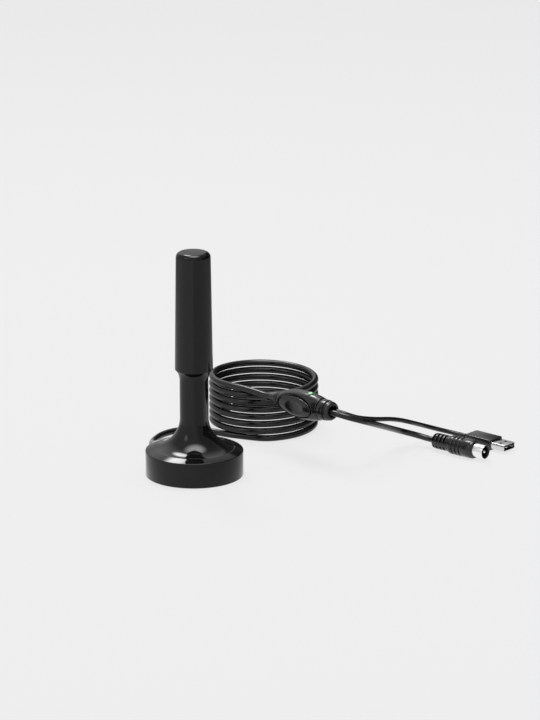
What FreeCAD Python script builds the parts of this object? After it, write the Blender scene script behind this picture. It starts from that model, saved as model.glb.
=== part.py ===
import FreeCAD, Part
import Sketcher
import math
import os
import re
from FreeCAD import Placement, Rotation, Vector

# Indoor television antenna: a mast on a flared magnetic foot, its feed cable in a coil,
# an in-line booster, and two short leads that end in an aerial plug and a USB plug.
# The origin is the centre of the foot's underside, +Z is up, millimetres throughout.
SIZES = {
    # mast sleeve and stem
    "sleeve_top_radius": 11.5,
    "sleeve_foot_radius": 12.82,
    "sleeve_foot_height": 73.6,
    "sleeve_length": 81.7,
    "sleeve_crown_fillet": 3.8,
    "sleeve_foot_fillet": 0.9,
    "sleeve_bore_radius": 10.0,
    "sleeve_crown_thickness": 4.0,
    "neck_radius": 9.78,
    "collar_height": 5.2,
    "collar_flare_radius": 8.0,
    "spigot_length": 8.0,
    "stem_wall": 2.5,
    "rim_height": 17.4,
    "rim_thickness": 1.9,
    "rim_radius": 33.0,
    "rim_fillet": 0.6,
    "shoulder_width": 5.3,
    "shoulder_slope": 21.0,
    "flare_slope": 13.0,
    # foot
    "rim_overhang": 0.1,
    "drum_draft": 0.3,
    "drum_wall": 2.2,
    "drum_clear_height": 0.4,
    "web_thickness": 1.0,
    "pad_thickness": 1.2,
    "pad_clearance": 0.2,
    "magnet_margin": 2.0,
    "magnet_bore_radius": 6.0,
    "magnet_thickness": 4.0,
    "backing_gap": 6.15,
    "backing_thickness": 1.0,
    "screw_inset": 2.85,
    "screw_first_angle": 35.0,
    "screw_radius": 1.2,
    "screw_length": 6.0,
    "screw_head_radius": 2.2,
    "screw_head_height": 1.5,
    "boss_radius": 2.4,
    "fit_clearance": 0.1,
    # radiating elements inside the sleeve
    "lower_element_radius": 6.0,
    "lower_element_wall": 0.8,
    "lower_element_length": 32.0,
    "spacer_thickness": 4.0,
    "upper_element_radius": 2.0,
    "upper_element_length": 30.0,
    # feed cable
    "feed_radius": 2.3,
    "gland_angle": 125.0,
    "gland_height": 10.3,
    "gland_neck_radius": 2.9,
    "gland_boot_radius": 3.7,
    "gland_tip_radius": 2.8,
    "gland_boot_length": 6.0,
    "lead_bend_radius": 9.0,
    "cable_straight": 5.0,
    "coil_lead_in": 3.0,
    "coil_x": 46.65,
    "coil_y": 109.47,
    "coil_radius": 36.27,
    "coil_height": 38.4,
    # booster
    "booster_x": 51.6,
    "booster_y": 60.0,
    "booster_z": 36.6,
    "booster_heading": -46.1,
    "booster_dip": -2.5,
    "booster_roll": 5.0,
    "rear_boot_length": 10.5,
    "shell_length": 42.0,
    "front_boot_length": 8.4,
    "shell_half_width": 10.3,
    "shell_half_depth": 8.2,
    "rear_boot_radius": 5.2,
    "front_boot_radius": 7.0,
    "front_boot_tip_radius": 5.5,
    "boot_mouth_radius": 4.3,
    "boot_mouth_depth": 4.0,
    "boot_groove_width": 0.8,
    "boot_groove_depth": 0.7,
    "boot_wall": 1.0,
    "boot_ring_step": 0.2,
    "cavity_length": 30.0,
    "cavity_width": 10.4,
    "cavity_depth": 2.3,
    "board_clearance": 0.2,
    "can_inset": 2.0,
    "board_thickness": 1.2,
    "can_length": 12.0,
    "can_width": 7.0,
    "can_height": 2.2,
    "grip_length": 35.4,
    "grip_width": 16.4,
    "grip_groove": 0.8,
    "grip_floor": 3.4,
    "grip_dish_radius": 42.0,
    "grip_dish_floor": 6.2,
    "led_radius": 1.6,
    "led_length": 3.2,
    "led_lean": 83.0,
    "led_proud": 1.0,
    "seam_drop": 1.6,
    "trim_margin": 1.0,
    "lead_gap": 0.2,
    # aerial plug
    "aerial_lead_radius": 2.1,
    "aerial_plug_x": 163.8,
    "aerial_plug_y": 56.7,
    "aerial_plug_heading": -39.4,
    "relief_length": 16.0,
    "relief_radius": 5.5,
    "relief_rear_radius": 4.0,
    "relief_taper": 1.2,
    "relief_slot_first": 1.7,
    "relief_slot_pitch": 2.87,
    "relief_slot_width": 1.3,
    "relief_slot_depth": 3.1,
    "plug_body_radius": 6.6,
    "plug_body_length": 20.6,
    "plug_nose_length": 1.6,
    "plug_nose_radius": 5.9,
    "plug_groove_width": 1.1,
    "plug_groove_depth": 0.6,
    "plug_groove_first": 4.0,
    "plug_groove_pitch": 3.1,
    "aerial_shell_radius": 4.75,
    "aerial_shell_wall": 0.6,
    "aerial_shell_length": 8.5,
    "aerial_pin_radius": 1.2,
    "aerial_pin_taper": 1.0,
    "aerial_insulator_length": 5.0,
    # USB plug
    "usb_lead_radius": 1.6,
    "usb_plug_x": 187.5,
    "usb_plug_y": 74.3,
    "usb_plug_heading": -41.5,
    "usb_relief_length": 4.0,
    "usb_relief_radius": 2.6,
    "usb_relief_wall": 0.6,
    "usb_body_length": 23.0,
    "usb_body_width": 14.0,
    "usb_body_height": 7.6,
    "usb_body_bevel": 1.5,
    "usb_shell_length": 11.3,
    "usb_shell_width": 12.0,
    "usb_shell_height": 4.5,
    "usb_shell_wall": 0.35,
    "usb_window": 2.2,
    "usb_window_setback": 5.0,
    "usb_window_spread": 2.7,
    "usb_tongue_thickness": 1.8,
    "usb_tongue_recess": 1.0,
    "usb_contact_width": 1.0,
    "usb_contact_recess": 3.0,
    "usb_contact_pitch": 2.25,
    "usb_contact_thickness": 0.2,
}

# Free stretches of the cables as they lie: from the gland to the coil, from the coil to
# the booster, and from the booster to the two plugs.
FEED_TAIL = [(-28.7, 46.2, 6.9), (-29.7, 56.4, 3.4), (-28.6, 68.2, 2.35), (-24.2, 81.6, 2.35),
             (-15.6, 91.6, 2.35), (-2.5, 94.6, 2.35), (9.7, 90.1, 2.35), (20.7, 83.0, 2.35), (32.5, 78.0, 2.35)]
FEED_RISER = [(21.8, 83.0, 38.2), (31.6, 75.8, 38.2), (40.2, 69.4, 37.5)]
AERIAL_LEAD = [(103.7, 8.5, 37.6), (112.0, 9.8, 35.0), (118.7, 14.7, 31.7), (138.6, 55.3, 14.1),
               (144.8, 60.1, 11.0), (152.4, 61.7, 8.5)]
USB_LEAD = [(105.5, 13.1, 37.3), (112.1, 15.8, 34.7), (123.7, 30.1, 29.5), (133.3, 42.1, 26.1),
            (142.0, 52.8, 21.9), (150.7, 63.6, 16.5), (160.3, 75.5, 10.4), (171.7, 79.8, 6.1)]

doc = FreeCAD.newDocument("IndoorTvAntenna")
sheet = doc.addObject("Spreadsheet::Sheet", "Sizes")
for row, (alias, value) in enumerate(SIZES.items(), start=1):
    sheet.set("A%d" % row, alias)
    sheet.set("B%d" % row, str(value))
    sheet.setAlias("B%d" % row, alias)
doc.recompute()

parts = []


def size(alias):
    return float(sheet.get(alias))


def worth(expression):
    """The present value of an expression of the sheet."""
    return float(sheet.evalExpression(cells(expression)))


def cells(expression):
    """Point every alias in an expression at the sheet."""
    return re.sub("[a-z_]+", lambda word: "Sizes." + word[0] if word[0] in SIZES else word[0], expression)


def keep(obj, name, place=None):
    """Label a finished sub-part, put it in its place and list it for writing."""
    obj.Label = name
    if place is not None:
        obj.Placement = place
    parts.append(obj)
    return obj


def bind(obj, **expressions):
    """Tie properties of an object to the sheet."""
    for name, expression in expressions.items():
        obj.setExpression(name.replace("__", "."), cells(expression))
    return obj


# Sketches and turned bodies


def origin_plane(body, role):
    return next(item for item in body.Origin.OriginFeatures if item.Role == role)


def pin_vertex(sketch, geometry, vertex, x, y):
    """Hold one sketch vertex at two expressions of the sheet."""
    for kind, axis, text in (("DistanceX", -2, x), ("DistanceY", -1, y)):
        if text == "0":
            sketch.addConstraint(Sketcher.Constraint("PointOnObject", geometry, vertex, axis))
            continue
        value = float(sketch.evalExpression(cells(text)))
        index = sketch.addConstraint(Sketcher.Constraint(kind, -1, 1, geometry, vertex, value))
        sketch.setExpression("Constraints[%d]" % index, cells(text))


def outline_sketch(body, name, outline, role="XZ_Plane"):
    """Draw a closed outline. Each point is (x, y), or (x, y, radius, centre x, centre y)
    where an arc arrives at it, all as expressions of the sheet."""
    sketch = body.newObject("Sketcher::SketchObject", name)
    sketch.AttachmentSupport = [(origin_plane(body, role), "")]
    sketch.MapMode = "FlatFace"
    spots = [[float(sketch.evalExpression(cells(text))) for text in point[:2]] for point in outline]
    ends = []
    for index, point in enumerate(outline):
        start, stop = Vector(*spots[index - 1], 0), Vector(*spots[index], 0)
        if len(point) == 2:
            ends.append((sketch.addGeometry(Part.LineSegment(start, stop)), 1, 2))
            continue
        radius, cx, cy = [float(sketch.evalExpression(cells(text))) for text in point[2:]]
        first, last = math.atan2(start.y - cy, start.x - cx), math.atan2(stop.y - cy, stop.x - cx)
        forward = (last - first) % (2 * math.pi) < math.pi
        sweep = (first, last) if forward else (last, first)
        circle = Part.Circle(Vector(cx, cy, 0), Vector(0, 0, 1), radius)
        geometry = sketch.addGeometry(Part.ArcOfCircle(circle, *sweep))
        ends.append((geometry, 1, 2) if forward else (geometry, 2, 1))
    for index, point in enumerate(outline):
        here, following = ends[index], ends[(index + 1) % len(ends)]
        sketch.addConstraint(Sketcher.Constraint("Coincident", here[0], here[2], following[0], following[1]))
        pin_vertex(sketch, here[0], here[2], *point[:2])
        if len(point) > 2:
            radius = float(sketch.evalExpression(cells(point[2])))
            held = sketch.addConstraint(Sketcher.Constraint("Radius", here[0], radius))
            sketch.setExpression("Constraints[%d]" % held, cells(point[2]))
    return sketch


def turned(name, outline, axis="V_Axis"):
    """A body turned from half its section: x is the radius and y the height, or with the
    H_Axis x runs along the axis and y is the radius."""
    body = doc.addObject("PartDesign::Body", name)
    sketch = outline_sketch(body, name + "_section", outline)
    revolution = body.newObject("PartDesign::Revolution", name + "_turn")
    revolution.Profile = sketch
    revolution.ReferenceAxis = (sketch, [axis])
    revolution.Angle = 360.0
    sketch.Visibility = False
    doc.recompute()
    return body


def circle_pad(body, name, x, y, radius, length, plane_height, cut=False):
    """A round boss or hole at a place on a level plane of the body."""
    sketch = body.newObject("Sketcher::SketchObject", name + "_sketch")
    sketch.AttachmentSupport = [(origin_plane(body, "XY_Plane"), "")]
    sketch.MapMode = "FlatFace"
    sketch.setExpression("AttachmentOffset.Base.z", cells(plane_height))
    centre = Vector(*[float(sketch.evalExpression(cells(text))) for text in (x, y)], 0)
    reach = float(sketch.evalExpression(cells(radius)))
    geometry = sketch.addGeometry(Part.Circle(centre, Vector(0, 0, 1), reach))
    pin_vertex(sketch, geometry, 3, x, y)
    held = sketch.addConstraint(Sketcher.Constraint("Radius", geometry, reach))
    sketch.setExpression("Constraints[%d]" % held, cells(radius))
    doc.recompute()
    feature = body.newObject("PartDesign::Pocket" if cut else "PartDesign::Pad", name)
    feature.Profile = sketch
    feature.setExpression("Length", cells(length))
    doc.recompute()
    return feature


def polar(body, feature, name):
    """Repeat a feature three times round the vertical axis."""
    pattern = body.newObject("PartDesign::PolarPattern", name + "_pattern")
    pattern.Originals = [feature]
    pattern.Axis = (origin_plane(body, "Z_Axis"), [""])
    pattern.Angle = 360.0
    pattern.Occurrences = 3
    body.Tip = pattern
    doc.recompute()
    return pattern


# Mast and foot

SLEEVE_TOP = "sleeve_foot_height + sleeve_length"
RIM_UNDER = "rim_height - rim_thickness"
CREASE_X = "rim_radius - shoulder_width"
CREASE_Y = "rim_height + shoulder_width * tan(shoulder_slope)"
FLARE_RADIUS = "(" + CREASE_X + " - neck_radius) / (1 - sin(flare_slope))"
FLARE_CENTRE_X = "neck_radius + " + FLARE_RADIUS
FLARE_CENTRE_Y = CREASE_Y + " + " + FLARE_RADIUS + " * cos(flare_slope)"
SPIGOT_TOP = "sleeve_foot_height + spigot_length"
SPIGOT_RADIUS = "sleeve_bore_radius - fit_clearance"
BACKING_TOP = "pad_thickness + magnet_thickness + backing_thickness"
WEB_TOP = BACKING_TOP + " + web_thickness"
DRUM_TOP = "rim_radius - rim_overhang"
DRUM_FOOT = DRUM_TOP + " + drum_draft"
DRUM_BORE = DRUM_TOP + " - drum_wall"
BACKING_RADIUS = DRUM_BORE + " - backing_gap"
MAGNET_RADIUS = BACKING_RADIUS + " - magnet_margin"
SCREW_CIRCLE = "(" + DRUM_BORE + " - screw_inset)"
SPACER_FOOT = SPIGOT_TOP + " + lower_element_length"
SCREW_X = SCREW_CIRCLE + " * cos(screw_first_angle)"
SCREW_Y = SCREW_CIRCLE + " * sin(screw_first_angle)"


def mast_sleeve():
    crown = "sleeve_top_radius - sleeve_crown_fillet"
    shoulder = SLEEVE_TOP + " - sleeve_crown_fillet"
    lip = "sleeve_foot_radius - sleeve_foot_fillet"
    lip_top = "sleeve_foot_height + sleeve_foot_fillet"
    roof = SLEEVE_TOP + " - sleeve_crown_thickness"
    keep(turned("mast_sleeve", [
        ("0", SLEEVE_TOP), ("0", roof), ("sleeve_bore_radius", roof),
        ("sleeve_bore_radius", "sleeve_foot_height"), (lip, "sleeve_foot_height"),
        ("sleeve_foot_radius", lip_top, "sleeve_foot_fillet", lip, lip_top),
        ("sleeve_top_radius", shoulder),
        (crown, SLEEVE_TOP, "sleeve_crown_fillet", crown, shoulder)]), "mast_sleeve")


def stem_base():
    """Neck, flare and rim in one moulding of even wall, with three screw bosses under the rim."""
    bore = "neck_radius - stem_wall"
    inside = CREASE_X + " - stem_wall * sin(flare_slope)"
    collar_foot = "sleeve_foot_height - collar_height"
    collar_reach = "neck_radius + collar_flare_radius - sqrt(collar_flare_radius ^ 2 - collar_height ^ 2)"
    run = "rim_fillet * tan((90 - shoulder_slope) / 2)"
    rim_side = "rim_height - " + run
    body = turned("stem_base", [
        ("rim_radius", RIM_UNDER), ("rim_radius", rim_side),
        ("rim_radius - " + run + " * cos(shoulder_slope)", "rim_height + " + run + " * sin(shoulder_slope)",
         "rim_fillet", "rim_radius - rim_fillet", rim_side),
        (CREASE_X, CREASE_Y),
        ("neck_radius", FLARE_CENTRE_Y, FLARE_RADIUS, FLARE_CENTRE_X, FLARE_CENTRE_Y),
        ("neck_radius", collar_foot),
        (collar_reach, "sleeve_foot_height", "collar_flare_radius", "neck_radius + collar_flare_radius",
         collar_foot),
        (SPIGOT_RADIUS, "sleeve_foot_height"), (SPIGOT_RADIUS, SPIGOT_TOP), (bore, SPIGOT_TOP),
        (bore, FLARE_CENTRE_Y),
        (inside, CREASE_Y + " - stem_wall * cos(flare_slope)", FLARE_RADIUS + " + stem_wall", FLARE_CENTRE_X,
         FLARE_CENTRE_Y),
        (inside, RIM_UNDER)])
    depth = CREASE_Y + " - stem_wall / 2 - (" + WEB_TOP + ")"
    polar(body, circle_pad(body, "boss", SCREW_X, SCREW_Y, "boss_radius", depth, WEB_TOP), "boss")
    hole = circle_pad(body, "boss_hole", SCREW_X, SCREW_Y, "screw_radius + fit_clearance / 2",
                      "screw_length - web_thickness + fit_clearance", WEB_TOP, cut=True)
    hole.Reversed = True
    polar(body, hole, "boss_hole")
    keep(body, "stem_base")


def base_drum():
    """Foot wall with a web across it that carries the magnet below and the stem's bosses above."""
    body = turned("drum_wall_and_web", [
        ("0", BACKING_TOP), (DRUM_BORE, BACKING_TOP), (DRUM_BORE, "drum_clear_height"),
        (DRUM_FOOT, "drum_clear_height"), (DRUM_TOP, RIM_UNDER),
        (DRUM_BORE, RIM_UNDER), (DRUM_BORE, WEB_TOP), ("0", WEB_TOP)])
    hole = circle_pad(body, "screw_hole", SCREW_X, SCREW_Y, "screw_radius + fit_clearance", "web_thickness",
                      WEB_TOP, cut=True)
    polar(body, hole, "screw_hole")
    doc.recompute()
    through = doc.addObject("Part::Cylinder", "gland_hole")
    bind(through, Radius="gland_neck_radius + fit_clearance / 2", Height=DRUM_FOOT)
    through.Placement = gland_place(Vector(0, 0, 0))
    cut = doc.addObject("Part::Cut", "base_drum_cut")
    cut.Base = body
    cut.Tool = through
    keep(cut, "base_drum")


def foot_pieces():
    rim = DRUM_BORE + " - pad_clearance"
    top = "pad_thickness + magnet_thickness"
    keep(turned("foot_pad", [("0", "0"), (rim, "0"), (rim, "pad_thickness"),
                             ("0", "pad_thickness")]), "foot_pad")
    keep(turned("base_magnet", [("magnet_bore_radius", "pad_thickness"), (MAGNET_RADIUS, "pad_thickness"),
                                (MAGNET_RADIUS, top), ("magnet_bore_radius", top)]), "base_magnet")
    keep(turned("magnet_backing", [("0", top), (BACKING_RADIUS, top), (BACKING_RADIUS, BACKING_TOP),
                                   ("0", BACKING_TOP)]), "magnet_backing")


def base_screws():
    screws = []
    for turn in range(3):
        angle = math.radians(size("screw_first_angle") + 120.0 * turn)
        reach = worth(SCREW_CIRCLE)
        head = doc.addObject("Part::Cylinder", "screw_head")
        bind(head, Radius="screw_head_radius", Height="screw_head_height")
        shank = doc.addObject("Part::Cylinder", "screw_shank")
        bind(shank, Radius="screw_radius", Height="screw_length")
        spot = Vector(reach * math.cos(angle), reach * math.sin(angle), worth(BACKING_TOP))
        shank.Placement.Base = spot
        head.Placement.Base = spot - Vector(0, 0, size("screw_head_height"))
        screw = doc.addObject("Part::Fuse", "screw")
        screw.Base = head
        screw.Tool = shank
        screws.append(screw)
    group = doc.addObject("Part::Compound", "base_screws")
    group.Links = screws
    keep(group, "base_screws")


def elements():
    """Brass sleeve, insulating spacer and copper rod that stand on the stem's spigot."""
    bore = "lower_element_radius - lower_element_wall"
    spacer_top = SPACER_FOOT + " + spacer_thickness"
    rod_top = spacer_top + " + upper_element_length"
    reach = "neck_radius - stem_wall"
    keep(turned("lower_element", [(bore, SPIGOT_TOP), (reach + " + lower_element_wall", SPIGOT_TOP),
                                  (reach + " + lower_element_wall", SPIGOT_TOP + " + lower_element_wall"),
                                  ("lower_element_radius", SPIGOT_TOP + " + lower_element_wall"),
                                  ("lower_element_radius", SPACER_FOOT), (bore, SPACER_FOOT)]), "lower_element")
    keep(turned("element_spacer", [("0", SPACER_FOOT), (SPIGOT_RADIUS, SPACER_FOOT),
                                   (SPIGOT_RADIUS, spacer_top), ("0", spacer_top)]), "element_spacer")
    keep(turned("upper_element", [("0", spacer_top), ("upper_element_radius", spacer_top),
                                  ("upper_element_radius", rod_top), ("0", rod_top)]), "upper_element")


# Cables


def gland_place(spot):
    """A frame whose Z axis points out of the foot at the gland, moved along it by the spot."""
    facing = Rotation(Vector(0, 0, 1), size("gland_angle"))
    frame = Placement(Vector(0, 0, size("gland_height")), facing * Rotation(Vector(0, 1, 0), 90))
    return frame.multiply(Placement(spot, Rotation()))


# How much of a straight run a bend may take at each of its ends.
BEND_SHARE = 0.45


def cable(points, radius, name):
    """A tube along straight runs joined by tangent arcs as large as the runs allow."""
    spots = [Vector(*point) for point in points]
    edges, start, radii = [], spots[0], []
    for before, corner, after in zip(spots, spots[1:], spots[2:]):
        run_in, run_out = (corner - before).normalize(), (after - corner).normalize()
        turn = run_in.getAngle(run_out)
        trim = BEND_SHARE * min((corner - before).Length, (after - corner).Length)
        radii.append(trim / math.tan(turn / 2))
        enter, leave = corner - run_in * trim, corner + run_out * trim
        toward = (run_out - run_in).normalize()
        middle = corner + toward * radii[-1] * (1 / math.cos(turn / 2) - 1)
        edges.append(Part.LineSegment(start, enter).toShape())
        edges.append(Part.Arc(enter, middle, leave).toShape())
        start = leave
    edges.append(Part.LineSegment(start, spots[-1]).toShape())
    path = Part.Wire(edges)
    section = Part.Wire(Part.Circle(spots[0], spots[1] - spots[0], radius).toShape())
    tube = path.makePipeShell([section], True, False)
    expected = math.pi * radius ** 2 * path.Length
    print("%s: length %.1f, volume ratio %.4f, radii %s" % (
        name, path.Length, tube.Volume / expected, ", ".join("%.1f" % value for value in radii)))
    return tube


def cable_part(name, shape):
    feature = doc.addObject("Part::Feature", name)
    feature.Shape = shape
    keep(feature, name)


GLAND_FACE = DRUM_FOOT + " + fit_clearance"
GLAND_TIP = GLAND_FACE + " + gland_boot_length"


def cable_gland():
    body = turned("cable_gland", [
        ("0", DRUM_BORE), ("gland_neck_radius", DRUM_BORE), ("gland_neck_radius", GLAND_FACE),
        ("gland_boot_radius", GLAND_FACE), ("gland_tip_radius", GLAND_TIP), ("0", GLAND_TIP)])
    keep(body, "cable_gland", gland_place(Vector(0, 0, 0)))


def inner_lead():
    """Cable from the gland across the foot and up the stem to the spacer."""
    wall = worth(DRUM_BORE)
    top = worth(SPACER_FOOT)
    bend = size("lead_bend_radius")
    low = size("gland_height")
    angle = math.radians(size("gland_angle"))
    out = Vector(math.cos(angle), math.sin(angle), 0)
    level = Vector(0, 0, low)
    inset = bend * (1 - math.cos(math.radians(45)))
    middle = level + out * inset + Vector(0, 0, inset)
    edges = [Part.LineSegment(level + out * wall, level + out * bend).toShape(),
             Part.Arc(level + out * bend, middle, level + Vector(0, 0, bend)).toShape(),
             Part.LineSegment(level + Vector(0, 0, bend), Vector(0, 0, top)).toShape()]
    section = Part.Wire(Part.Circle(level + out * wall, out * -1, size("feed_radius")).toShape())
    cable_part("inner_lead", Part.Wire(edges).makePipeShell([section], True, False))


def feed_cable():
    """One closed ring for the coil, with the free stretches trimmed to its outside."""
    thick = size("feed_radius")
    inner = "coil_radius - feed_radius"
    ring = turned("feed_coil", [(inner, "0"), ("coil_radius + feed_radius", "0"),
                                ("coil_radius + feed_radius", "coil_height"), (inner, "coil_height")])
    keep(ring, "feed_coil", Placement(Vector(size("coil_x"), size("coil_y"), 0), Rotation()))
    doc.recompute()
    straight = size("cable_straight")
    leaving = [gland_place(Vector(0, 0, worth(GLAND_TIP) + along)).Base for along in (0, straight)]
    ends = ("coil_x - coil_lead_in", "coil_y - coil_radius", "feed_radius + fit_clearance / 2")
    joint = [worth(text) for text in ends]
    tail = cable(leaving + FEED_TAIL + [joint], thick, "feed_tail")
    cable_part("feed_tail", outside(tail, ring))
    arriving = [booster_place().multVec(Vector(along, 0, 0)) for along in (-straight, 0)]
    riser = cable(FEED_RISER + arriving, thick, "feed_riser")
    cable_part("feed_riser", outside(riser, ring))


def outside(tube, ring):
    """The longest piece of a tube outside the coil."""
    return max(tube.cut(ring.Shape).Solids, key=lambda solid: solid.Volume)


# Booster


def booster_place():
    """Frame of the booster: X along the cable, Z out of the thumb grip, Y up."""
    heading = Rotation(Vector(0, 0, 1), size("booster_heading"))
    dip = Rotation(Vector(0, 1, 0), size("booster_dip"))
    spot = Vector(size("booster_x"), size("booster_y"), size("booster_z"))
    roll = Rotation(Vector(1, 0, 0), 90 + size("booster_roll"))
    return Placement(spot, heading * dip * roll)


# Stations of the casing as shares of its length, half width and half depth.
CASING_STATIONS = [(0.0, 0.525, 0.64), (0.1, 0.67, 0.8), (0.231, 0.84, 0.92), (0.381, 0.96, 0.985),
                   (0.512, 0.99, 1.0), (0.687, 0.965, 0.985), (0.855, 0.875, 0.93), (1.0, 0.705, 0.86)]


def booster_form():
    """Smooth casing through elliptical stations from the rear boot to the front boot."""
    rings = []
    for along, wide, deep in CASING_STATIONS:
        ring = doc.addObject("Part::Ellipse", "station")
        ring.Placement.Rotation = Rotation(Vector(0, -1, 0), Vector(0, 0, -1), Vector(1, 0, 0), "XYZ")
        bind(ring, MajorRadius="shell_half_width * %.3f" % wide, MinorRadius="shell_half_depth * %.3f" % deep,
             Placement__Base__x="rear_boot_length + shell_length * %.3f" % along)
        rings.append(ring)
    form = doc.addObject("Part::Loft", "booster_form")
    form.Sections = rings
    form.Solid = True
    form.Ruled = False
    return form


def block(name, length, width, height, x, y, z):
    """A box with its sizes and its place tied to the sheet."""
    box = doc.addObject("Part::Box", name)
    return bind(box, Length=length, Width=width, Height=height, Placement__Base__x=x, Placement__Base__y=y,
                Placement__Base__z=z)


def boolean(kind, name, base, tool):
    result = doc.addObject("Part::" + kind, name)
    result.Base = base
    result.Tool = tool
    return result


# The lamp's place along the casing, up its flank and out of it, as shares of the casing.
LED_SHARES = (0.729, 0.925, 0.1)
GRIP_X = "rear_boot_length + shell_length * 0.457"
CAVITY_X = "rear_boot_length + ( shell_length - cavity_length ) / 2"


def grip_prism(name, trim):
    """An upright oval through the grip, smaller all round by the trim."""
    oval = doc.addObject("Part::Ellipse", name + "_oval")
    bind(oval, MajorRadius="grip_length / 2 - " + trim, MinorRadius="grip_width / 2 - " + trim,
         Placement__Base__x=GRIP_X, Placement__Base__z="grip_floor")
    prism = doc.addObject("Part::Extrusion", name)
    prism.Base = oval
    prism.DirMode = "Custom"
    prism.Dir = Vector(0, 0, 1)
    prism.Solid = True
    return bind(prism, LengthFwd="shell_half_depth * 2")


def led_cylinder(name, radius, length):
    """A round peg square to the casing, on its upper side beside the grip."""
    peg = doc.addObject("Part::Cylinder", name)
    bind(peg, Radius=radius, Height=length)
    lean = Rotation(Vector(1, 0, 0), -size("led_lean"))
    along, up, out = LED_SHARES
    spot = Vector(size("rear_boot_length") + along * size("shell_length"), up * size("shell_half_width"),
                  out * size("shell_half_depth"))
    peg.Placement = Placement(spot - lean.multVec(Vector(0, 0, size("led_length") - size("led_proud"))), lean)
    return peg


def booster():
    place = booster_place()
    form = booster_form()
    half = block("upper_half", "shell_length + trim_margin * 2", "shell_half_width * 4", "shell_half_depth * 2",
                 "rear_boot_length - trim_margin", "shell_half_width * -2", "seam_drop * -1")
    cavity = block("cavity", "cavity_length", "cavity_width", "cavity_depth * 2", CAVITY_X,
                   "cavity_width / -2", "cavity_depth * -1")
    upper = boolean("Cut", "upper_hollow", boolean("Common", "upper_form", form, half), cavity)
    upper = boolean("Cut", "upper_pocket", upper, grip_prism("grip_pocket", "0"))
    hole = led_cylinder("led_hole", "led_radius + fit_clearance / 2", "led_length * 3")
    upper = boolean("Cut", "upper_led", upper, hole)
    keep(upper, "booster_top_shell", place)
    lower = boolean("Cut", "lower_hollow", boolean("Cut", "lower_form", form, half), cavity)
    keep(lower, "booster_bottom_shell", place)
    dish = doc.addObject("Part::Sphere", "grip_dish")
    bind(dish, Radius="grip_dish_radius", Placement__Base__x=GRIP_X,
         Placement__Base__z="grip_dish_floor + grip_dish_radius")
    grip = boolean("Common", "grip_form", form, grip_prism("grip_core", "grip_groove"))
    keep(boolean("Cut", "grip_dished", grip, dish), "booster_grip", place)
    keep(led_cylinder("booster_led", "led_radius", "led_length"), "booster_led")
    led = parts[-1]
    led.Placement = place.multiply(led.Placement)
    board_z = "cavity_depth * -1"
    board = block("board", "cavity_length - board_clearance * 2", "cavity_width - board_clearance * 2",
                  "board_thickness", CAVITY_X + " + board_clearance", "cavity_width / -2 + board_clearance",
                  board_z)
    can = block("can", "can_length", "can_width", "can_height", CAVITY_X + " + can_inset",
                "can_width / -2", board_z + " + board_thickness")
    carry(board, "booster_board", place)
    carry(can, "amplifier_can", place)
    boots(place)


def carry(obj, name, place):
    """Move a block from the booster's frame to its place through a one-piece compound."""
    group = doc.addObject("Part::Compound", name)
    group.Links = [obj]
    keep(group, name, place)


# Grooves of the boots: share of the boot's length, and share of its change of radius.
REAR_RINGS = [(0.34, 0.16), (0.58, 0.5), (0.82, 0.85)]
FRONT_RINGS = [(0.05, 0.05), (0.5, 0.42)]


def boots(place):
    """Ringed boots that close the casing round the cables."""
    bare = "( feed_radius + boot_wall )"
    rear = [("0", "0"), ("0", bare)]
    for along, share in REAR_RINGS:
        at = "rear_boot_length * %.2f" % along
        reach = bare + " + ( rear_boot_radius - " + bare + " ) * %.2f" % share
        rear += groove(at, reach, reach, "boot_groove_width / 2")
    rear += [("rear_boot_length", "rear_boot_radius"), ("rear_boot_length", "0")]
    keep(turned("booster_rear_boot", rear, "H_Axis"), "booster_rear_boot", place)
    foot = "rear_boot_length + shell_length"
    front = [(foot, "0"), (foot, "front_boot_radius")]
    for along, share in FRONT_RINGS:
        at = foot + " + front_boot_length * %.2f" % along
        reach = "front_boot_radius - ( front_boot_radius - front_boot_tip_radius ) * %.2f" % share
        front += groove(at, reach, reach + " - boot_ring_step", "boot_groove_width")
    tip = foot + " + front_boot_length"
    floor = tip + " - boot_mouth_depth"
    front += [(tip, "front_boot_tip_radius"), (tip, "boot_mouth_radius"), (floor, "boot_mouth_radius"),
              (floor, "0")]
    keep(turned("booster_front_boot", front, "H_Axis"), "booster_front_boot", place)


def groove(at, reach, reach_after, wide):
    """Four section points of a square groove round a boot."""
    low = reach + " - boot_groove_depth"
    return [(at, reach), (at, low), (at + " + " + wide, low), (at + " + " + wide, reach_after)]


# Leads and plugs


def plug_place(kind, height):
    """Frame of a plug that lies on the floor: X along its axis from the cable end."""
    spot = Vector(size(kind + "_plug_x"), size(kind + "_plug_y"), height)
    return Placement(spot, Rotation(Vector(0, 0, 1), size(kind + "_plug_heading")))


def leads():
    """Two leads that leave the mouth of the front boot side by side."""
    tip = worth("rear_boot_length + shell_length + front_boot_length")
    apart = worth("( aerial_lead_radius + usb_lead_radius + lead_gap ) / 2")
    straight = size("cable_straight")
    frame = booster_place()
    for kind, route, side, height in (("aerial", AERIAL_LEAD, apart, "plug_body_radius"),
                                      ("usb", USB_LEAD, -apart, "usb_body_height / 2")):
        starts = (tip - size("boot_mouth_depth"), tip + straight)
        leaving = [frame.multVec(Vector(along, 0, side)) for along in starts]
        arriving = [plug_place(kind, worth(height)).multVec(Vector(along, 0, 0)) for along in (-straight, 0)]
        name = kind + "_lead"
        cable_part(name, cable(leaving + route + arriving, size(kind + "_lead_radius"), name))


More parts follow.
